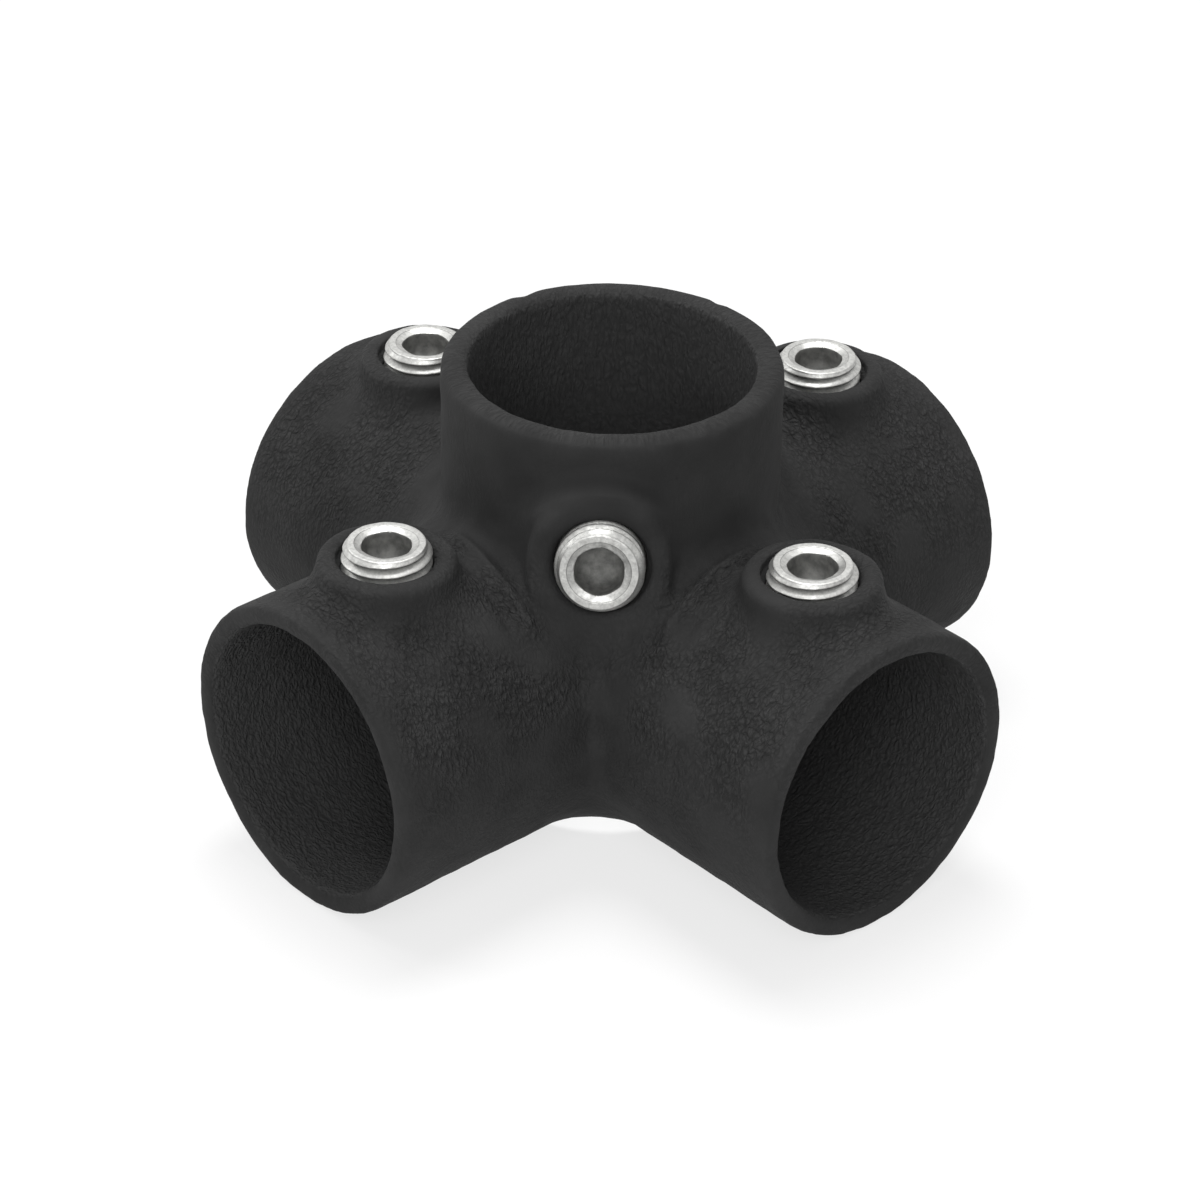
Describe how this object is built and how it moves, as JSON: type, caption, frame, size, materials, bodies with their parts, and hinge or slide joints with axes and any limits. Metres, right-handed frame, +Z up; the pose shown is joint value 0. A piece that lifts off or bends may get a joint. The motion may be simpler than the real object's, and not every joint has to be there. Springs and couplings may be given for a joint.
{
  "type": "tube clamp cross fitting",
  "caption": "Black-coated cast cross that clamps level tubes to an upright tube, each held by a bright hexagon-socket set screw in a boss.",
  "frame": {"origin": "where the axis of the upright bore crosses the axes of the level sockets", "axes": "+Z up along the upright bore towards the longer side of its sleeve, +X and +Y out of the mouths of two neighbouring sockets"},
  "size_m": [0.142, 0.142, 0.0818],
  "materials": {
    "coated_casting": "matte black coating over a rough cast skin",
    "zinc_screw": "bright zinc plate, lightly scratched"
  },
  "bodies": {
    "fitting": {"casting": "coated_casting"},
    "front_right_screw": {"screw_front_right": "zinc_screw"},
    "rear_right_screw": {"screw_rear_right": "zinc_screw"},
    "rear_left_screw": {"screw_rear_left": "zinc_screw"},
    "front_left_screw": {"screw_front_left": "zinc_screw"},
    "sleeve_screw": {"screw_sleeve": "zinc_screw"}
  },
  "joints": [
    {"name": "front_right_screw_travel", "type": "slide", "parent": "fitting", "child": "front_right_screw", "axis": [0, 0, 1], "range_m": [-0.004, 0.005]},
    {"name": "rear_right_screw_travel", "type": "slide", "parent": "fitting", "child": "rear_right_screw", "axis": [0, 0, 1], "range_m": [-0.004, 0.005]},
    {"name": "rear_left_screw_travel", "type": "slide", "parent": "fitting", "child": "rear_left_screw", "axis": [0, 0, 1], "range_m": [-0.004, 0.005]},
    {"name": "front_left_screw_travel", "type": "slide", "parent": "fitting", "child": "front_left_screw", "axis": [0, 0, 1], "range_m": [-0.004, 0.005]},
    {"name": "sleeve_screw_travel", "type": "slide", "parent": "fitting", "child": "sleeve_screw", "axis": [0.6964, -0.6964, 0.1736], "range_m": [-0.004, 0.005]}
  ]
}
